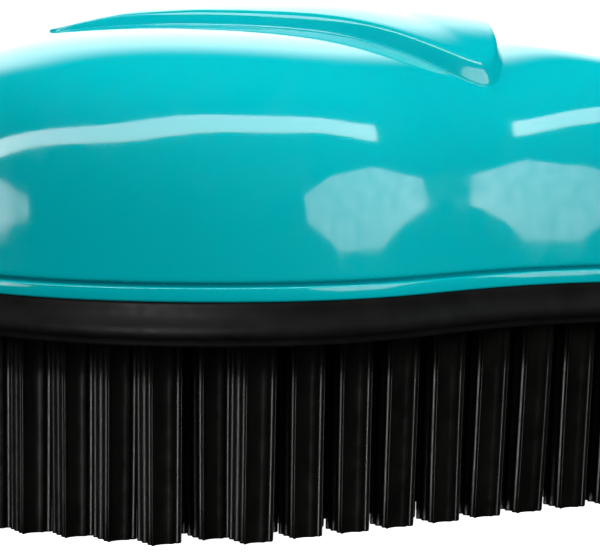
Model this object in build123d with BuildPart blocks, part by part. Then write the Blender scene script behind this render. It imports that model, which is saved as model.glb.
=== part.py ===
from build123d import *
from math import cos, radians, sin, tan
import os

# Rubber curry brush: a hand-sized waisted (peanut shaped) brush.
# The origin is under the middle of the waist, on the plane of the bristle tips.
# +X runs along the brush, +Y across it and +Z up through the palm rest. Millimetres.

# ---- Plan outline of the case ----
HALF_LENGTH = 59.5          # from the waist to the end of each lobe
LOBE_HALF = 37.9            # widest half width, at the middle of a lobe
LOBE_X = 30.0               # where a lobe is widest
SHOULDER_X = 50.0           # where the end curve turns into the lobe
SHOULDER_HALF = 28.5
FLANK_X = 16.0              # where the lobe runs into the waist
FLANK_HALF = 35.1
WAIST_HALF = 31.9
SHOULDER_NORMAL = (0.8, 0.6)  # direction in which an inset moves the shoulder point

# ---- Heights ----
BRISTLE_LENGTH = 21.35
LIP_BOTTOM_Z = 22.15        # underside of the pad's thick rounded lip
RIM_Z = 26.05               # the rubber meets the tray
BAND_TOP_Z = 27.6           # top of the tray's outside band
SHELL_Z = 28.0              # lower edge of the handle shell
SHELL_TOP_Z = 54.35         # crown of the shell over the waist, without the palm rest

# ---- Walls and fits ----
WALL = 2.4
FIT = 0.2                   # clearance between the tray's tongue and the shell
TRAY_FLOOR_Z = 24.15        # underside of the tray floor, in the pad's pocket
TRAY_FLOOR = 2.0
POCKET_INSET = 3.4          # side of the pocket in the pad, in from the outline
SHADOW_INSET = 0.8          # depth of the groove between tray and shell
TONGUE_WIDTH = 1.6
TONGUE_TOP_Z = 30.45

# ---- Dome ----
DOME_SIDE_POWER = 3.0       # superellipse power of the dome's profile across the brush
DOME_END_POWERS = (5.0, 2.2)  # the same along the brush, to the left end and to the right end
CROWN_TILT = 2.0            # degrees by which the crown falls towards the right lobe
DOME_STEPS = (0.0, 0.3, 0.5, 0.68, 0.82, 0.91, 0.97, 0.993)

# ---- Palm rest, the crowned leaf-shaped pad on top of the left lobe ----
PALM_X = -15.0              # middle about which its levels shrink
PALM_FOOT = (
    (14.7, 0.0), (7.5, 9.9), (-2.2, 23.3), (-9.0, 25.7), (-16.0, 23.0), (-32.0, 9.6), (-46.0, 0.0)
)
PALM_LEVELS = ((47.0, 1.0), (51.5, 0.98), (55.0, 0.88), (57.2, 0.68), (58.2, 0.35))  # height, size

# ---- Rubber pad ----
LIP_RADIUS = 1.8
LIP_ANGLES = (0, 22.5, 45, 67.5, 90)
ROOT_INSET = 0.5            # the sheet that carries the bristles, in from the lip
BUTTON_POINTS = ((-50.0, 0.0), (-14.0, 0.0), (14.0, 0.0), (50.0, 0.0), (0.0, -20.0), (0.0, 20.0))
BUTTON_RADIUS = 2.0
BUTTON_HEAD_RADIUS = 3.2
BUTTON_HEAD = 1.5
BUTTON_TAPER = 25           # degrees on the side of the head, so that it snaps in
BUTTON_FIT = 0.15

# ---- Bristles ----
ROW_COUNTS = (13, 16, 17, 18, 19, 20, 19, 20, 19, 18, 17, 16, 15, 14)  # front to back
ROW_SPACING = 4.27
BRISTLE_PITCH = 5.93
BRISTLE_SIDE = 3.7          # square section at the root
BRISTLE_TAPER = 0.2         # degrees on each side

# ---- Screws ----
SCREW_X = 31.0
SCREW_Y = 15.0
BOSS_RADIUS = 4.0
BOSS_OVERLAP = 0.9          # how far a boss runs into the dome above it
SCREW_RADIUS = 1.4
SCREW_CLEARANCE = 0.2
SCREW_HEAD_RADIUS = 2.8
SCREW_HEAD = 1.5
SCREW_LENGTH = 12.0
PILOT_DEPTH = 14.0
DRIVE_WIDTH = 0.6           # arms of the cross recess
DRIVE_LENGTH = 3.0
DRIVE_DEPTH = 0.8


def quarter(inset, reach_x, reach_y):
    """Points of the outline from the end of a lobe to the waist, drawn in by inset."""
    return [
        (HALF_LENGTH * reach_x - inset, 0.0),
        (
            SHOULDER_X * reach_x - SHOULDER_NORMAL[0] * inset,
            SHOULDER_HALF * reach_y - SHOULDER_NORMAL[1] * inset,
        ),
        (LOBE_X * reach_x, LOBE_HALF * reach_y - inset),
        (FLANK_X * reach_x, FLANK_HALF * reach_y - inset),
        (0.0, WAIST_HALF * reach_y - inset),
    ]


def outline(height, inset=0.0, reach_x=(1.0, 1.0), reach_y=1.0, tilt=0.0):
    """The waisted plan outline at a height, scaled along (left, right) and across."""
    left = [(-x, y) for x, y in reversed(quarter(inset, reach_x[0], reach_y))]
    right = quarter(inset, reach_x[1], reach_y)
    with BuildSketch(Plane.XY.offset(height).rotated((0, tilt, 0))) as level:
        with BuildLine():
            Spline(*right, tangents=((0, 1), (-1, 0)))
            Spline(*left, tangents=((-1, 0), (0, -1)))
            mirror(about=Plane.XZ)
        make_face()
    return level.sketch


def dome_reach(step, power):
    """How far the dome still reaches out at this fraction of its height."""
    return (1 - step**power) ** (1 / power)


def dome_levels(inset, top):
    """Outlines up the dome, drawn in by inset, from the shell's lower edge to its crown."""
    levels = []
    for step in DOME_STEPS:
        height = SHELL_Z + step * (top - SHELL_Z)
        reach_x = [dome_reach(step, power) for power in DOME_END_POWERS]
        reach_y = dome_reach(step, DOME_SIDE_POWER)
        levels.append(outline(height, inset, reach_x, reach_y, step * CROWN_TILT))
    return levels


def palm_levels():
    """Outlines of the palm rest from inside the dome up to its crown."""
    levels = []
    for height, size in PALM_LEVELS:
        points = [(PALM_X + (x - PALM_X) * size, y * size) for x, y in PALM_FOOT]
        with BuildSketch(Plane.XY.offset(height)) as level:
            with BuildLine():
                Spline(*points, tangents=((0, 1), (0, -1)))
                mirror(about=Plane.XZ)
            make_face()
        levels.append(level.sketch)
    return levels


def lip_levels():
    """Outlines up the quarter-round underside of the rubber lip."""
    levels = []
    for angle in LIP_ANGLES:
        rise = LIP_RADIUS * (1 - cos(radians(angle)))
        inset = LIP_RADIUS * (1 - sin(radians(angle)))
        levels.append(outline(LIP_BOTTOM_Z + rise, inset=inset))
    return levels


def screw_points():
    return [(x, y) for x in (-SCREW_X, SCREW_X) for y in (-SCREW_Y, SCREW_Y)]


os.makedirs("parts", exist_ok=True)

# Handle shell: a hollow dome with the palm rest on its left lobe and four screw bosses.
with BuildPart() as handle_shell:
    loft(sections=dome_levels(0.0, SHELL_TOP_Z))
    loft(sections=palm_levels())
    loft(sections=dome_levels(WALL, SHELL_TOP_Z - WALL), mode=Mode.SUBTRACT)
    for boss_x, boss_y in screw_points():
        with BuildSketch(Plane.XY.offset(SHELL_Z)):
            with Locations((boss_x, boss_y)):
                Circle(BOSS_RADIUS)
        ceiling = SHELL_TOP_Z - WALL - boss_x * tan(radians(CROWN_TILT))
        extrude(amount=ceiling + BOSS_OVERLAP - SHELL_Z)
    with BuildSketch(Plane.XY.offset(SHELL_Z)):
        with Locations(*screw_points()):
            Circle(SCREW_RADIUS)
    extrude(amount=PILOT_DEPTH, mode=Mode.SUBTRACT)

# Base tray: the band below the shadow groove, with a floor that sits in the rubber pad,
# a tongue that centres the shell, posts under the screw bosses and holes for the buttons.
with BuildPart() as base_tray:
    extrude(outline(RIM_Z), amount=BAND_TOP_Z - RIM_Z)
    extrude(outline(TRAY_FLOOR_Z, inset=POCKET_INSET), amount=RIM_Z - TRAY_FLOOR_Z)
    extrude(outline(BAND_TOP_Z, inset=SHADOW_INSET), amount=SHELL_Z - BAND_TOP_Z)
    extrude(outline(SHELL_Z, inset=WALL + FIT), amount=TONGUE_TOP_Z - SHELL_Z)
    tray_inside = outline(TRAY_FLOOR_Z + TRAY_FLOOR, inset=WALL + FIT + TONGUE_WIDTH)
    extrude(tray_inside, amount=TONGUE_TOP_Z - TRAY_FLOOR_Z - TRAY_FLOOR, mode=Mode.SUBTRACT)
    with BuildSketch(Plane.XY.offset(TRAY_FLOOR_Z)):
        with Locations(*screw_points()):
            Circle(BOSS_RADIUS)
    extrude(amount=SHELL_Z - TRAY_FLOOR_Z)
    with Locations(*[Location((x, y, TRAY_FLOOR_Z), (180, 0, 0)) for x, y in screw_points()]):
        CounterBoreHole(
            SCREW_RADIUS + SCREW_CLEARANCE, SCREW_HEAD_RADIUS + SCREW_CLEARANCE, SCREW_HEAD
        )
    with BuildSketch(Plane.XY.offset(TRAY_FLOOR_Z)):
        with Locations(*BUTTON_POINTS):
            Circle(BUTTON_RADIUS + BUTTON_FIT)
    extrude(amount=TRAY_FLOOR, mode=Mode.SUBTRACT)

# Rubber pad: a sheet with a thick rounded lip, a pocket for the tray floor, and buttons
# that snap through the tray.
with BuildPart() as rubber_pad:
    loft(sections=lip_levels())
    extrude(outline(LIP_BOTTOM_Z + LIP_RADIUS), amount=RIM_Z - LIP_BOTTOM_Z - LIP_RADIUS)
    extrude(outline(BRISTLE_LENGTH, inset=ROOT_INSET), amount=RIM_Z - BRISTLE_LENGTH)
    extrude(
        outline(TRAY_FLOOR_Z, inset=POCKET_INSET),
        amount=RIM_Z - TRAY_FLOOR_Z,
        mode=Mode.SUBTRACT,
    )
    with BuildSketch(Plane.XY.offset(TRAY_FLOOR_Z)):
        with Locations(*BUTTON_POINTS):
            Circle(BUTTON_RADIUS)
    extrude(amount=TRAY_FLOOR)
    with BuildSketch(Plane.XY.offset(TRAY_FLOOR_Z + TRAY_FLOOR)):
        with Locations(*BUTTON_POINTS):
            Circle(BUTTON_HEAD_RADIUS)
    extrude(amount=BUTTON_HEAD, taper=BUTTON_TAPER)

# Case screws: four alike, driven up through the tray into the shell's bosses.
with BuildPart() as case_screws:
    with BuildSketch(Plane.XY.offset(TRAY_FLOOR_Z)):
        with Locations(*screw_points()):
            Circle(SCREW_HEAD_RADIUS)
    extrude(amount=SCREW_HEAD)
    with BuildSketch(Plane.XY.offset(TRAY_FLOOR_Z + SCREW_HEAD)):
        with Locations(*screw_points()):
            Circle(SCREW_RADIUS)
    extrude(amount=SCREW_LENGTH)
    with BuildSketch(Plane.XY.offset(TRAY_FLOOR_Z)):
        with Locations(*screw_points()):
            Rectangle(DRIVE_LENGTH, DRIVE_WIDTH)
            Rectangle(DRIVE_WIDTH, DRIVE_LENGTH)
    extrude(amount=DRIVE_DEPTH, mode=Mode.SUBTRACT)

pieces = {
    "handle_shell": handle_shell,
    "base_tray": base_tray,
    "rubber_pad": rubber_pad,
    "case_screws": case_screws,
}

# Bristles: square and slightly tapered, in rows that are staggered by half a pitch because
# their counts are odd and even in turn. Each row is a node of its own.
for row, count in enumerate(ROW_COUNTS):
    row_y = (row - (len(ROW_COUNTS) - 1) / 2) * ROW_SPACING
    with BuildPart() as bristle_row:
        with BuildSketch(Plane.XY.offset(BRISTLE_LENGTH)):
            with Locations((0, row_y)):
                with GridLocations(BRISTLE_PITCH, 0, count, 1):
                    Rectangle(BRISTLE_SIDE, BRISTLE_SIDE)
        extrude(amount=-BRISTLE_LENGTH, taper=BRISTLE_TAPER)
    pieces[f"bristle_row_{row + 1:02d}"] = bristle_row

for name, piece in pieces.items():
    piece.part.label = name
    export_step(piece.part, f"parts/{name}.step")
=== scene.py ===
import math
import random

import bpy
import numpy as np
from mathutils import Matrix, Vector


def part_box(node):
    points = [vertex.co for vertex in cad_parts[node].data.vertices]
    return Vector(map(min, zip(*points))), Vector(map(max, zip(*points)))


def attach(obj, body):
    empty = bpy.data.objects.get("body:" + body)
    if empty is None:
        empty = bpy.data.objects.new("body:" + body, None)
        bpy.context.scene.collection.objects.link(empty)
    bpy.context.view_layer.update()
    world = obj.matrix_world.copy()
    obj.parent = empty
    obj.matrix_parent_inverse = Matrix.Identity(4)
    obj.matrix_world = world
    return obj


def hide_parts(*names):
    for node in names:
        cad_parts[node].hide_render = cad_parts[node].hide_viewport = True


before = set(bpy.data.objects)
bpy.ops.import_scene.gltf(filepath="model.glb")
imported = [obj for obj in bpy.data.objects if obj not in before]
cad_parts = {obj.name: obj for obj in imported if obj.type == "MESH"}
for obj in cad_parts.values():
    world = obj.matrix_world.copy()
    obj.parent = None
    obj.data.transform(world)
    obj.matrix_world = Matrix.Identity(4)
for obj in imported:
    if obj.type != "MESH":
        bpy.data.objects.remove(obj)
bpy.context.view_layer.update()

MM = 0.001
random.seed(7)

# ---- Sizes, in millimetres, taken from the frame ----
SHELL_LOW, SHELL_HIGH = (Vector(corner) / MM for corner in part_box("handle_shell"))
TRAY_LOW, TRAY_HIGH = (Vector(corner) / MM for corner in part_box("base_tray"))
HALF_LENGTH = TRAY_HIGH.x
LOBE_HALF = TRAY_HIGH.y
RIM_Z = 26.05   # the rubber meets the tray
ROOT_Z = (Vector(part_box("rubber_pad")[0]) / MM).z
SHELL_Z = SHELL_LOW.z
PALM_TOP_Z = SHELL_HIGH.z

# ---- Plan outline: points of one quarter, as fractions of the half length and half width ----
QUARTER = ((1.0, 0.0), (0.840, 0.752), (0.504, 1.0), (0.269, 0.926), (0.0, 0.842))
QUARTER_STEPS = 90

# ---- Dome ----
DOME_RISE = 26.35
SIDE_POWER = 3.0
LEFT_POWER = 5.0
RIGHT_POWER = 2.2
CROWN_TILT = math.radians(2.0)
WALL = 2.4
EDGE_ROUND = 0.3
DOME_TURNS = 800
DOME_RINGS = 60
INSIDE_RINGS = 24
INSIDE_TURN = 0.97      # the inside is closed flat above this turn

# ---- Palm rest: half of its leaf-shaped foot as (x, half width, height of the wall there) ----
PALM_FOOT = (
    (14.7, 0.0, 3.4), (13.0, 3.2, 3.4), (7.8, 10.2, 3.0), (3.2, 17.4, 2.5), (-1.2, 24.2, 2.0),
    (-4.2, 26.6, 1.8), (-8.5, 26.4, 1.8), (-14.5, 23.6, 1.8), (-20.5, 19.0, 1.7),
    (-26.0, 14.2, 1.6), (-33.0, 9.0, 1.5), (-40.0, 4.6, 1.1), (-46.0, 0.0, 0.3),
)
PALM_X = -15.0
PALM_CROWN = 3.2
PALM_RINGS = 26
# How far the wall spreads inwards, as a share of its height, and how much more where it is tall.
WALL_SPREAD = 0.3
TALL_WALL = 1.8
TALL_SPREAD = 0.35
# The wall's profile: distance inwards as a share of its spread, and share of its height.
WALL_RUN = (
    (-0.12, 0.0), (0.0, 0.04), (0.1, 0.16), (0.3, 0.42), (0.5, 0.66), (0.75, 0.85),
    (1.05, 0.955), (1.4, 0.99), (1.9, 1.0),
)

# ---- Tray and pad: insets from the outline ----
BAND_EDGE = 0.25
GROOVE_HEIGHT = 0.4
GROOVE_DEPTH = 0.8
TONGUE_INSET = 2.6
TONGUE_INSIDE = 4.2
POCKET_INSET = 3.4
TRAY_FLOOR = 2.0
LIP_RADIUS = 1.05

# ---- Bristles: ridges along each side of the square, as fractions of half its width ----
PITCH = 5.93
LEFT_RIDGES = (-1.0, -0.29, 0.48, 1.0)
FRONT_RIDGES = (-1.0, 0.37, 0.81, 1.0)
FLUTE_DEPTH = 0.42
RIDGE_HALF = 0.12
TIP_ROUND = 0.15
TIP_ROUND_SCALE = 0.97
TIP_SCALE = 0.96
# The bristles lean most near LEAN_X, and stay put at LEAN_HOLD of their height.
LEAN = 1.45
LEAN_X = 14.0
LEAN_SPREAD = 38.0
LEAN_HOLD = 0.35
TWIST = 0.04
SCATTER = 0.16
BRISTLE_LEVELS = 4

# ---- Lights: angles in degrees, distances in metres ----
LIGHT_AIM = (0.0, 0.0, 0.04)
FILL_AXIS = (0.22, -0.12, 0.97)
FILL_RISE = (-0.5, 0.6)
FILL_STRENGTH = 1.34
STRIP_PATH = ((-130, 6, 2.2), (-105, 18, 3.6), (-70, 34, 6.0), (-40, 49, 7.0), (0, 53, 6.8),
              (36, 47, 5.5), (60, 34, 4.5))
STRIP_DISTANCE = 1.0
STRIP_STRENGTH = 7.0
SOFTBOX_RIGHT = (34.5, 9.0, 31.5, 12.5, 0.8)    # azimuth, elevation, half sizes, distance
SOFTBOX_LEFT = (-130.0, -1.1, 22.0, 2.7, 0.4)
SOFTBOX_STRENGTH = 4.0
RIDGE_LIGHT = (-58.0, -8.0, 8.0, 18.0, 0.5)
RIDGE_STRENGTH = 12.0
BACKDROP_STRENGTH = 1.5
BACKDROP_DISTANCE = 1.5
BACKDROP_HALF_WIDTH = 0.8
SHEET_AZIMUTH = 162.0
SHEET_DISTANCE = 1.2
SHEET_HALF_WIDTH = (0.50, 1.05)
SHEET_HEIGHT = (1.0, 1.85)
SHEET_STRENGTH = 2.6

# ---- Camera ----
CAMERA_TURN = math.radians(30.6)
CAMERA_DEPTH = 272.3
CAMERA_SIDE = 11.5
CAMERA_HEIGHT = 45.15
CAMERA_PITCH = math.radians(4.24)
CAMERA_LENS = 132.0


# ---------------------------------------------------------------- curves and meshes

def spline_through(points, start_way, end_way, samples):
    """A smooth curve through the points with given end directions, sampled evenly."""
    points = np.array(points, float)
    gaps = np.linalg.norm(np.diff(points, axis=0), axis=1)
    count = len(points)
    system = np.eye(count)
    target = np.zeros((count, 2))
    target[0], target[-1] = start_way, end_way
    for i in range(1, count - 1):
        before, after = gaps[i - 1], gaps[i]
        system[i, i - 1:i + 2] = after, 2 * (before + after), before
        rise_before = (points[i] - points[i - 1]) / before
        rise_after = (points[i + 1] - points[i]) / after
        target[i] = 3 * (after * rise_before + before * rise_after)
    ways = np.linalg.solve(system, target)
    dense = []
    for i, gap in enumerate(gaps):
        u = np.linspace(0, 1, 200, endpoint=(i == len(gaps) - 1))[:, None]
        dense.append((2 * u**3 - 3 * u**2 + 1) * points[i] + (u**3 - 2 * u**2 + u) * gap * ways[i]
                     + (3 * u**2 - 2 * u**3) * points[i + 1] + (u**3 - u**2) * gap * ways[i + 1])
    return resample(np.concatenate(dense), samples)


def resample(line, samples):
    """Points at even distances along a polyline."""
    run = np.concatenate([[0], np.cumsum(np.linalg.norm(np.diff(line, axis=0), axis=1))])
    wanted = np.linspace(0, run[-1], samples)
    return np.stack([np.interp(wanted, run, line[:, k]) for k in range(line.shape[1])], axis=1)


def make_outline():
    """The whole waisted outline, anticlockwise from the end of the right lobe."""
    corners = [(x * HALF_LENGTH, y * LOBE_HALF) for x, y in QUARTER]
    first = spline_through(corners, (0, 1), (-1, 0), QUARTER_STEPS + 1)
    second = (first * (-1, 1))[::-1]
    upper = np.concatenate([first[:-1], second[:-1]])
    return np.concatenate([upper, upper * (-1, -1)])


def inward(outline):
    """Unit normals into the outline."""
    along = np.roll(outline, -1, axis=0) - np.roll(outline, 1, axis=0)
    along /= np.linalg.norm(along, axis=1)[:, None]
    return np.stack([-along[:, 1], along[:, 0]], axis=1)


def mesh_object(name, verts, faces, material):
    """A smooth mesh, with any face of more than four corners left flat."""
    mesh = bpy.data.meshes.new(name)
    mesh.from_pydata([tuple(v) for v in np.array(verts) * MM], [], faces)
    mesh.validate()
    mesh.polygons.foreach_set("use_smooth", [len(face.vertices) < 5 for face in mesh.polygons])
    mesh.materials.append(material)
    piece = bpy.data.objects.new(name, mesh)
    bpy.context.collection.objects.link(piece)
    return piece


def ring_faces(rings, size, start=0):
    """Quads between successive rings of the same size."""
    faces = []
    for ring in range(rings - 1):
        low, high = start + ring * size, start + (ring + 1) * size
        for i in range(size):
            j = (i + 1) % size
            faces.append((low + i, low + j, high + j, high + i))
    return faces


def lathe(name, profile, bottom_z, top_z, outline, material):
    """A closed solid: a profile of (inset, z) run round the outline, and closed at the middle."""
    normals = inward(outline)
    verts = [(0.0, 0.0, bottom_z)]
    for inset, z in profile:
        ring = outline + normals * inset
        verts += [(x, y, z) for x, y in ring]
    verts.append((0.0, 0.0, top_z))
    size = len(outline)
    faces = [(0, 1 + (i + 1) % size, 1 + i) for i in range(size)]
    faces += ring_faces(len(profile), size, 1)
    last = 1 + (len(profile) - 1) * size
    faces += [(last + i, last + (i + 1) % size, len(verts) - 1) for i in range(size)]
    return mesh_object(name, verts, faces, material)


def arc(centre, radius, start, end, steps):
    """Profile points on an arc about (inset, z); angles in degrees, 0 inwards, 90 up."""
    points = []
    for i in range(steps + 1):
        angle = math.radians(start + (end - start) * i / steps)
        points.append((centre[0] + radius * math.cos(angle), centre[1] + radius * math.sin(angle)))
    return points


# ---------------------------------------------------------------- materials

def new_material(name):
    material = bpy.data.materials.new(name)
    material.use_nodes = True
    nodes = material.node_tree.nodes
    return material, nodes, material.node_tree.links, nodes["Principled BSDF"]


def noise(nodes, links, scale, detail=2.0):
    """Noise in the object's own metres, so it doesn't depend on UVs."""
    coords = nodes.new("ShaderNodeTexCoord")
    texture = nodes.new("ShaderNodeTexNoise")
    texture.inputs["Scale"].default_value = scale
    texture.inputs["Detail"].default_value = detail
    links.new(coords.outputs["Object"], texture.inputs["Vector"])
    return texture


def ramp(nodes, links, source, low, high):
    """Two colours or greys mixed by a factor between 0.3 and 0.7."""
    mix = nodes.new("ShaderNodeValToRGB")
    mix.color_ramp.elements[0].position = 0.3
    mix.color_ramp.elements[1].position = 0.7
    mix.color_ramp.elements[0].color = (*low, 1)
    mix.color_ramp.elements[1].color = (*high, 1)
    links.new(source.outputs["Fac"], mix.inputs["Fac"])
    return mix


def bump(nodes, links, source, strength, distance):
    node = nodes.new("ShaderNodeBump")
    node.inputs["Strength"].default_value = strength
    node.inputs["Distance"].default_value = distance
    links.new(source.outputs["Fac"], node.inputs["Height"])
    return node


def gloss_turquoise():
    """Polished moulded plastic: faint orange peel and a trace of colour drift."""
    material, nodes, links, shader = new_material("gloss_turquoise")
    drift = ramp(nodes, links, noise(nodes, links, 25.0), (0.0, 0.55, 0.62), (0.0, 0.59, 0.66))
    links.new(drift.outputs["Color"], shader.inputs["Base Color"])
    haze = ramp(nodes, links, noise(nodes, links, 400.0), (0.05, 0.05, 0.05), (0.10, 0.10, 0.10))
    links.new(haze.outputs["Color"], shader.inputs["Roughness"])
    peel = bump(nodes, links, noise(nodes, links, 900.0, 3.0), 0.10, 0.00002)
    links.new(peel.outputs["Normal"], shader.inputs["Normal"])
    shader.inputs["IOR"].default_value = 1.5
    return material


def black_rubber(name, dark, light, roughness, specular):
    """Moulded rubber: near black with dusty variation and a fine grain."""
    material, nodes, links, shader = new_material(name)
    tint = ramp(nodes, links, noise(nodes, links, 300.0, 4.0), dark, light)
    links.new(tint.outputs["Color"], shader.inputs["Base Color"])
    low, high = (roughness - 0.06,) * 3, (roughness + 0.08,) * 3
    rough = ramp(nodes, links, noise(nodes, links, 800.0), low, high)
    links.new(rough.outputs["Color"], shader.inputs["Roughness"])
    grain = bump(nodes, links, noise(nodes, links, 4000.0, 3.0), 0.25, 0.00004)
    links.new(grain.outputs["Normal"], shader.inputs["Normal"])
    shader.inputs["Specular IOR Level"].default_value = specular
    return material


def zinc_steel():
    material, nodes, links, shader = new_material("zinc_steel")
    tint = ramp(nodes, links, noise(nodes, links, 900.0), (0.45, 0.46, 0.47), (0.62, 0.62, 0.63))
    links.new(tint.outputs["Color"], shader.inputs["Base Color"])
    shader.inputs["Metallic"].default_value = 1.0
    shader.inputs["Roughness"].default_value = 0.35
    return material


def glow(name, strength):
    material = bpy.data.materials.new(name)
    material.use_nodes = True
    nodes = material.node_tree.nodes
    nodes.clear()
    emission = nodes.new("ShaderNodeEmission")
    emission.inputs["Color"].default_value = (1, 1, 1, 1)
    emission.inputs["Strength"].default_value = strength
    output = nodes.new("ShaderNodeOutputMaterial")
    material.node_tree.links.new(emission.outputs["Emission"], output.inputs["Surface"])
    return material


def mottled_glow(name, strength):
    """A glow that is a little uneven, like light through cloth."""
    material = glow(name, strength)
    nodes, links = material.node_tree.nodes, material.node_tree.links
    texture = noise(nodes, links, 14.0, 6.0)
    spread = nodes.new("ShaderNodeMapRange")
    spread.inputs["From Min"].default_value = 0.3
    spread.inputs["From Max"].default_value = 0.7
    spread.inputs["To Min"].default_value = 0.7 * strength
    spread.inputs["To Max"].default_value = 1.15 * strength
    links.new(texture.outputs["Fac"], spread.inputs["Value"])
    links.new(spread.outputs["Result"], nodes["Emission"].inputs["Strength"])
    return material


# ---------------------------------------------------------------- the handle shell

def dome_point(outline, turn):
    """Points of the dome over the outline; turn runs from 0 at the lower edge to 1 at the crown."""
    step = math.sin(turn * math.pi / 2) ** (2 / SIDE_POWER)
    reach_y = math.cos(turn * math.pi / 2) ** (2 / SIDE_POWER)
    power = np.where(outline[:, 0] < 0, LEFT_POWER, RIGHT_POWER)
    reach_x = np.maximum(0.0, 1 - step**power) ** (1 / power)
    tilt = CROWN_TILT * step
    x = outline[:, 0] * reach_x
    y = outline[:, 1] * reach_y
    z = SHELL_Z + step * DOME_RISE - x * math.sin(tilt)
    return np.stack([x * math.cos(tilt), y, z], axis=1)


def make_palm_foot():
    """The palm rest's foot about its middle: angles, and radius and wall height at each."""
    half = spline_through([(x, y) for x, y, wall in PALM_FOOT], (0, 1), (0, -1), 200)
    angles = np.arctan2(half[:, 1], half[:, 0] - PALM_X)
    radii = np.hypot(half[:, 0] - PALM_X, half[:, 1])
    heights = [wall for x, y, wall in PALM_FOOT]
    walls = np.interp(-half[:, 0], [-x for x, y, wall in PALM_FOOT], heights)
    return angles, radii, walls


def palm_share(foot, x, y):
    """Distance from the palm rest's middle as a share of the distance to its foot."""
    angle = np.abs(np.arctan2(y, x - PALM_X))
    return np.hypot(x - PALM_X, y) / np.interp(angle, foot[0], foot[1])


def shell_rings(outline, palm_foot):
    """Rings of the shell's outside up to the palm rest, and the lines that run up through them."""
    normals = inward(outline)
    rings = []
    for inset, z in arc((EDGE_ROUND, SHELL_Z + EDGE_ROUND), EDGE_ROUND, 270, 180, 4):
        ring = outline + normals * inset
        rings.append(np.column_stack([ring, np.full(len(ring), z)]))
    turns = np.linspace(0, 1, DOME_TURNS)
    stack = np.array([dome_point(outline, turn) for turn in turns])
    across = palm_share(palm_foot, stack[:, :, 0], stack[:, :, 1])
    meridians = []
    for i in range(len(outline)):
        above = np.argmax(stack[:, i, 2] > SHELL_Z + EDGE_ROUND * 1.5)
        inside = np.argmax(across[:, i] < 1.0)
        before, after = across[inside - 1, i], across[inside, i]
        part = (before - 1.0) / (before - after)
        foot = stack[inside - 1, i] + part * (stack[inside, i] - stack[inside - 1, i])
        line = np.vstack([stack[above:inside, i], foot])
        meridians.append(resample(line, DOME_RINGS))
    meridians = np.array(meridians)
    rings += [meridians[:, k] for k in range(DOME_RINGS - 1)]
    return rings, meridians


def palm_rings(meridians, palm_foot):
    """Rings over the palm rest: its foot, its wall and its crowned top."""
    foot = meridians[:, -1]
    step_in = meridians[:, -1] - meridians[:, -4]
    slope = step_in[:, 2] / np.linalg.norm(step_in[:, :2], axis=1)
    middle = np.array([PALM_X, 0.0])
    way = middle - foot[:, :2]
    reach = np.linalg.norm(way, axis=1)
    way /= reach[:, None]
    angle = np.abs(np.arctan2(foot[:, 1], foot[:, 0] - PALM_X))
    wall = np.interp(angle, palm_foot[0], palm_foot[2])
    spread = WALL_SPREAD * wall * (1 + TALL_SPREAD * np.clip(wall - TALL_WALL, 0, None))
    edge = foot[:, 2] + slope * spread + wall
    rings = []
    for run, rise in WALL_RUN:
        across = foot[:, :2] + way * (run * spread)[:, None]
        low = foot[:, 2] + slope * run * spread
        share = 1 - run * spread / reach
        high = PALM_TOP_Z - (PALM_TOP_Z - edge) * share**PALM_CROWN
        rings.append(np.column_stack([across, low + rise * (high - low)]))
    last = 1 - WALL_RUN[-1][0] * spread / reach
    for k in range(1, PALM_RINGS):
        share = last * (1 - k / PALM_RINGS)
        across = middle - way * (share * reach)[:, None]
        z = PALM_TOP_Z - (PALM_TOP_Z - edge) * share**PALM_CROWN
        rings.append(np.column_stack([across, z]))
    return rings


def make_shell(outline, material):
    """The hollow shell as one closed mesh: outside, palm rest, lower edge and inside."""
    palm_foot = make_palm_foot()
    outside, meridians = shell_rings(outline, palm_foot)
    outside += palm_rings(meridians, palm_foot)
    normals = inward(outline)
    inner = outline + normals * WALL
    edge = outline + normals * GROOVE_DEPTH
    inside = [np.column_stack([edge, np.full(len(outline), SHELL_Z)])]
    scale = (DOME_RISE - WALL) / DOME_RISE
    for k in range(INSIDE_RINGS):
        ring = dome_point(inner, INSIDE_TURN * k / (INSIDE_RINGS - 1))
        ring[:, 2] = SHELL_Z + (ring[:, 2] - SHELL_Z) * scale
        inside.append(ring)
    rings = inside[::-1] + outside
    size = len(outline)
    verts = [tuple(inside[-1].mean(axis=0))]
    for ring in rings:
        verts += [tuple(p) for p in ring]
    verts.append((PALM_X, 0.0, PALM_TOP_Z))
    faces = [(0, 1 + (i + 1) % size, 1 + i) for i in range(size)]
    faces += ring_faces(len(rings), size, 1)
    last = 1 + (len(rings) - 1) * size
    faces += [(last + i, last + (i + 1) % size, len(verts) - 1) for i in range(size)]
    shell = mesh_object("palm_shell", verts, faces, material)
    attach(shell, "root")
    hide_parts("handle_shell")
    return shell


# ---------------------------------------------------------------- tray and pad

def make_tray(outline, material):
    """The turquoise band under the shadow groove, with its floor and tongue."""
    band_top = SHELL_Z - GROOVE_HEIGHT
    floor_top = TRAY_LOW.z + TRAY_FLOOR
    profile = [(POCKET_INSET, TRAY_LOW.z), (POCKET_INSET, RIM_Z)]
    profile += arc((BAND_EDGE, RIM_Z + BAND_EDGE), BAND_EDGE, 270, 180, 4)
    profile += arc((BAND_EDGE, band_top - BAND_EDGE), BAND_EDGE, 180, 90, 4)
    profile += [(GROOVE_DEPTH, band_top), (GROOVE_DEPTH, SHELL_Z)]
    profile += [(TONGUE_INSET, SHELL_Z), (TONGUE_INSET, TRAY_HIGH.z)]
    profile += [(TONGUE_INSIDE, TRAY_HIGH.z), (TONGUE_INSIDE, floor_top)]
    tray = lathe("tray_band", profile, TRAY_LOW.z, floor_top, outline, material)
    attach(tray, "root")
    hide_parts("base_tray")
    return tray


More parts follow.
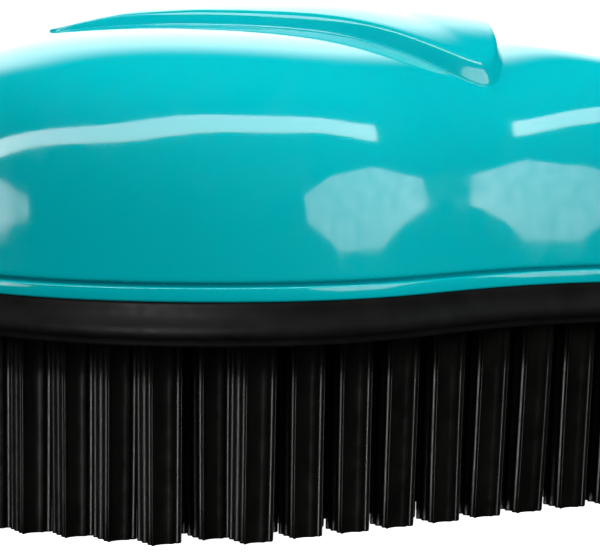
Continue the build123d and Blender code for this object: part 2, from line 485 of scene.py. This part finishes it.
def make_pad(outline, material):
    """The rubber pad: its rounded lip swells below a shallow waist under the rim."""
    lip_bottom = ROOT_Z + 0.8
    profile = [(2.2, ROOT_Z), (1.5, ROOT_Z), (1.2, ROOT_Z + 0.3), (1.15, lip_bottom)]
    profile += arc((1.0, lip_bottom + LIP_RADIUS), LIP_RADIUS, 268, 150, 9)
    profile += [(0.3, RIM_Z - 1.75), (0.36, RIM_Z - 1.3), (0.3, RIM_Z - 0.7), (0.2, RIM_Z - 0.25)]
    profile += [(0.25, RIM_Z - 0.08), (0.4, RIM_Z)]
    profile += [(POCKET_INSET, RIM_Z), (POCKET_INSET, TRAY_LOW.z)]
    pad = lathe("rubber_sheet", profile, ROOT_Z, TRAY_LOW.z, outline, material)
    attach(pad, "root")
    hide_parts("rubber_pad")
    return pad


# ---------------------------------------------------------------- bristles

def side_points(half, ridges):
    """One side of the section, along it from -half: blunt ridges with hollow flutes between."""
    points = []
    for low, high in zip(ridges, ridges[1:]):
        start, end = low * half + RIDGE_HALF, high * half - RIDGE_HALF
        depth = min(FLUTE_DEPTH, 0.33 * (end - start))
        points.append((start, half))
        for share in (0.12, 0.3, 0.5, 0.7, 0.88):
            hollow = 1 - abs(2 * share - 1) ** 2.5
            points.append((start + share * (end - start), half - depth * hollow))
        points.append((end, half))
    return points


def bristle_section(half):
    """The fluted square section, anticlockwise from above; opposite sides are alike."""
    section = []
    for turn in (0, 90, 180, 270):
        ridges = FRONT_RIDGES if turn % 180 == 0 else LEFT_RIDGES
        cos, sin = math.cos(math.radians(turn)), math.sin(math.radians(turn))
        for along, out in side_points(half, ridges):
            section.append((along * cos + out * sin, along * sin - out * cos))
    return np.array(section)


def make_bristle(centre, section, verts, faces):
    """Adds one fluted bristle to the lists. Most lean a little: the rubber has taken a set."""
    twist = random.uniform(-TWIST, TWIST)
    tip = np.array([random.uniform(-SCATTER, SCATTER), random.uniform(-SCATTER, SCATTER)])
    lean = LEAN * math.exp(-(((centre[0] - LEAN_X) / LEAN_SPREAD) ** 2))
    cos, sin = math.cos(twist), math.sin(twist)
    turned = section @ np.array([[cos, sin], [-sin, cos]])
    start = len(verts)
    levels = [(0.0, TIP_ROUND_SCALE), (TIP_ROUND, 1.0)]
    for k in range(1, BRISTLE_LEVELS + 1):
        levels.append((TIP_ROUND + (ROOT_Z - TIP_ROUND) * k / BRISTLE_LEVELS, 1.0))
    for z, scale in levels:
        rise = z / ROOT_Z
        taper = TIP_SCALE + (1 - TIP_SCALE) * rise
        shift = tip * (1 - rise) ** 2 + np.array([lean * (rise - LEAN_HOLD), 0.0])
        verts += [(x, y, z) for x, y in turned * scale * taper + np.array(centre) + shift]
    size = len(section)
    faces.append(tuple(start + i for i in range(size))[::-1])
    faces += ring_faces(len(levels), size, start)
    top = start + (len(levels) - 1) * size
    faces.append(tuple(top + i for i in range(size)))


def make_bristles(material):
    pieces = []
    rows = sorted(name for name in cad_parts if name.startswith("bristle_row"))
    for row in rows:
        low, high = (Vector(corner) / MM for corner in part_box(row))
        side = high.y - low.y
        section = bristle_section(side / 2)
        count = round((high.x - low.x - side) / PITCH) + 1
        verts, faces = [], []
        for k in range(count):
            centre = (low.x + side / 2 + k * PITCH, (low.y + high.y) / 2)
            make_bristle(centre, section, verts, faces)
        piece = mesh_object(row.replace("bristle_row", "fluted_bristles"), verts, faces, material)
        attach(piece, "root")
        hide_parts(row)
        pieces.append(piece)
    return pieces


# ---------------------------------------------------------------- stage

def make_camera():
    camera = bpy.data.objects.new("camera", bpy.data.cameras.new("camera"))
    bpy.context.collection.objects.link(camera)
    bpy.context.scene.camera = camera
    right = Vector((math.cos(CAMERA_TURN), -math.sin(CAMERA_TURN), 0))
    ahead = Vector((math.sin(CAMERA_TURN), math.cos(CAMERA_TURN), 0))
    place = -right * CAMERA_SIDE - ahead * CAMERA_DEPTH + Vector((0, 0, CAMERA_HEIGHT))
    camera.location = place * MM
    camera.rotation_euler = (math.pi / 2 - CAMERA_PITCH, 0, -CAMERA_TURN)
    camera.data.sensor_width = 36.0
    camera.data.lens = CAMERA_LENS
    camera.data.clip_start = 0.01


def plane_object(name, corners, material):
    mesh = bpy.data.meshes.new(name)
    mesh.from_pydata(corners, [], [tuple(range(len(corners)))])
    mesh.materials.append(material)
    plane = bpy.data.objects.new(name, mesh)
    bpy.context.collection.objects.link(plane)
    return plane


def make_floor():
    """A pale floor that stays bright under the brush."""
    material = bpy.data.materials.new("pale_floor")
    material.use_nodes = True
    shader = material.node_tree.nodes["Principled BSDF"]
    shader.inputs["Base Color"].default_value = (0.85, 0.85, 0.85, 1)
    shader.inputs["Roughness"].default_value = 0.9
    shader.inputs["Emission Color"].default_value = (1, 1, 1, 1)
    shader.inputs["Emission Strength"].default_value = 1.0
    half = 2.5
    corners = [(-half, -half, 0), (half, -half, 0), (half, half, 0), (-half, half, 0)]
    floor = plane_object("floor", corners, material)
    floor.visible_glossy = False
    floor.visible_diffuse = False
    floor.visible_shadow = False


def make_world():
    """Fill light that grows towards the zenith and leaves no reflection of its own."""
    world = bpy.data.worlds.new("studio")
    bpy.context.scene.world = world
    world.use_nodes = True
    nodes, links = world.node_tree.nodes, world.node_tree.links
    coords = nodes.new("ShaderNodeTexCoord")
    along = nodes.new("ShaderNodeVectorMath")
    along.operation = "DOT_PRODUCT"
    along.inputs[1].default_value = FILL_AXIS
    rise = nodes.new("ShaderNodeMapRange")
    rise.interpolation_type = "SMOOTHSTEP"
    rise.inputs["From Min"].default_value = FILL_RISE[0]
    rise.inputs["From Max"].default_value = FILL_RISE[1]
    rise.inputs["To Max"].default_value = FILL_STRENGTH
    links.new(coords.outputs["Generated"], along.inputs[0])
    links.new(along.outputs["Value"], rise.inputs["Value"])
    links.new(rise.outputs["Result"], nodes["Background"].inputs["Strength"])
    nodes["Background"].inputs["Color"].default_value = (1, 1, 1, 1)
    world.cycles_visibility.glossy = False


def direction(azimuth, elevation):
    """Unit vector; azimuth 0 looks to the front (-Y) and 90 to +X."""
    a, e = math.radians(azimuth), math.radians(elevation)
    return Vector((math.sin(a) * math.cos(e), -math.cos(a) * math.cos(e), math.sin(e)))


def make_backdrop():
    """The white wall that the camera sees behind the brush."""
    ahead = Vector((math.sin(CAMERA_TURN), math.cos(CAMERA_TURN), 0))
    right = Vector((math.cos(CAMERA_TURN), -math.sin(CAMERA_TURN), 0))
    corners = []
    for side, height in ((-1, -0.05), (1, -0.05), (1, 0.8), (-1, 0.8)):
        place = ahead * BACKDROP_DISTANCE + right * side * BACKDROP_HALF_WIDTH
        corners.append((place.x, place.y, height))
    backdrop = plane_object("backdrop", corners, glow("backdrop", BACKDROP_STRENGTH))
    backdrop.visible_diffuse = False
    backdrop.visible_glossy = False


def make_sheet():
    """A white sheet that the top of the shell reflects, fading out at its sides and top."""
    material = glow("white_sheet", SHEET_STRENGTH)
    nodes, links = material.node_tree.nodes, material.node_tree.links
    coords = nodes.new("ShaderNodeTexCoord")
    split = nodes.new("ShaderNodeSeparateXYZ")
    links.new(coords.outputs["Object"], split.inputs["Vector"])
    sideways = nodes.new("ShaderNodeMath")
    sideways.operation = "ABSOLUTE"
    links.new(split.outputs["X"], sideways.inputs[0])
    strength = nodes.new("ShaderNodeMath")
    strength.operation = "MULTIPLY"
    parts = (
        (sideways.outputs["Value"], SHEET_HALF_WIDTH, 1.0),
        (split.outputs["Z"], SHEET_HEIGHT, SHEET_STRENGTH),
    )
    for index, (source, span, start) in enumerate(parts):
        fade = nodes.new("ShaderNodeMapRange")
        fade.interpolation_type = "SMOOTHSTEP"
        fade.inputs["From Min"].default_value = span[0]
        fade.inputs["From Max"].default_value = span[1]
        fade.inputs["To Min"].default_value = start
        fade.inputs["To Max"].default_value = 0.0
        links.new(source, fade.inputs["Value"])
        links.new(fade.outputs["Result"], strength.inputs[index])
    links.new(strength.outputs["Value"], nodes["Emission"].inputs["Strength"])
    half, height = SHEET_HALF_WIDTH[1], SHEET_HEIGHT[1]
    corners = [(-half, 0, 0), (half, 0, 0), (half, 0, height), (-half, 0, height)]
    sheet = plane_object("white_sheet", corners, material)
    sheet.location = direction(SHEET_AZIMUTH, 0) * SHEET_DISTANCE
    sheet.rotation_euler = (0, 0, math.radians(SHEET_AZIMUTH))
    sheet.visible_camera = False
    sheet.visible_diffuse = False


def softbox(name, azimuth, elevation, half_width, half_height, distance, strength):
    """An eight-sided glowing panel facing the brush; half sizes in degrees. Not seen directly."""
    centre = direction(azimuth, elevation) * distance
    side = Vector((math.cos(math.radians(azimuth)), math.sin(math.radians(azimuth)), 0))
    rise = side.cross(centre).normalized()
    if rise.z < 0:
        rise = -rise
    corners = []
    for k in range(8):
        angle = 2 * math.pi * (k + 0.5) / 8
        across = math.cos(angle) * math.tan(math.radians(half_width)) * distance
        up = math.sin(angle) * math.tan(math.radians(half_height)) * distance
        corners.append(tuple(Vector(LIGHT_AIM) + centre + side * across + rise * up))
    panel = plane_object(name, corners, mottled_glow(name, strength))
    panel.visible_camera = False
    panel.visible_diffuse = False
    return panel


def strip_light(name, path, distance, strength):
    """A long bent strip of light round the brush; path of (azimuth, elevation, half width)."""
    path = np.array(path, float)
    first, last = path[1, :2] - path[0, :2], path[-1, :2] - path[-2, :2]
    first, last = first / np.linalg.norm(first), last / np.linalg.norm(last)
    line = spline_through(path[:, :2], first, last, 80)
    half = np.interp(line[:, 0], path[:, 0], path[:, 2])
    centres = [direction(azimuth, elevation) for azimuth, elevation in line]
    verts, faces = [], []
    for i, centre in enumerate(centres):
        along = centres[min(i + 1, len(centres) - 1)] - centres[max(i - 1, 0)]
        out = centre.cross(along).normalized() * math.tan(math.radians(half[i]))
        for sign in (-1, 1):
            verts.append(tuple(Vector(LIGHT_AIM) + (centre + sign * out) * distance))
    for i in range(len(centres) - 1):
        faces.append((2 * i, 2 * i + 1, 2 * i + 3, 2 * i + 2))
    mesh = bpy.data.meshes.new(name)
    mesh.from_pydata(verts, [], faces)
    mesh.materials.append(glow(name, strength))
    strip = bpy.data.objects.new(name, mesh)
    bpy.context.collection.objects.link(strip)
    strip.visible_camera = False
    strip.visible_diffuse = False
    return strip


def light_only(lamp, pieces):
    """Limits a lamp to the given pieces."""
    collection = bpy.data.collections.new(lamp.name + "_receivers")
    for piece in pieces:
        collection.objects.link(piece)
    lamp.light_linking.receiver_collection = collection


def make_lights(glossy, rubber):
    """The strip and softboxes light the plastic, and a lamp of their own the ridges."""
    light_only(strip_light("strip", STRIP_PATH, STRIP_DISTANCE, STRIP_STRENGTH), glossy)
    light_only(softbox("softbox_right", *SOFTBOX_RIGHT, SOFTBOX_STRENGTH), glossy)
    light_only(softbox("softbox_left", *SOFTBOX_LEFT, SOFTBOX_STRENGTH), glossy)
    light_only(softbox("ridge_light", *RIDGE_LIGHT, RIDGE_STRENGTH), rubber)


# ---------------------------------------------------------------- assembly

bpy.context.scene.view_settings.view_transform = "Standard"
make_camera()
make_world()
make_floor()
make_backdrop()
make_sheet()

turquoise = gloss_turquoise()
pad_rubber = black_rubber("pad_rubber", (0.008, 0.009, 0.008), (0.014, 0.015, 0.013), 0.55, 0.25)
# The bristles get a darker copy of the pad's rubber: the darker colour is painted shade among the
# bristles.
bristle_rubber = black_rubber(
    "bristle_rubber", (0.003, 0.003, 0.0025), (0.006, 0.006, 0.005), 0.34, 0.4
)
OUTLINE = make_outline()
glossy_pieces = [make_shell(OUTLINE, turquoise), make_tray(OUTLINE, turquoise)]
rubber_pieces = [make_pad(OUTLINE, pad_rubber)] + make_bristles(bristle_rubber)
make_lights(glossy_pieces, rubber_pieces)
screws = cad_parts["case_screws"]
screws.data.materials.clear()
screws.data.materials.append(zinc_steel())
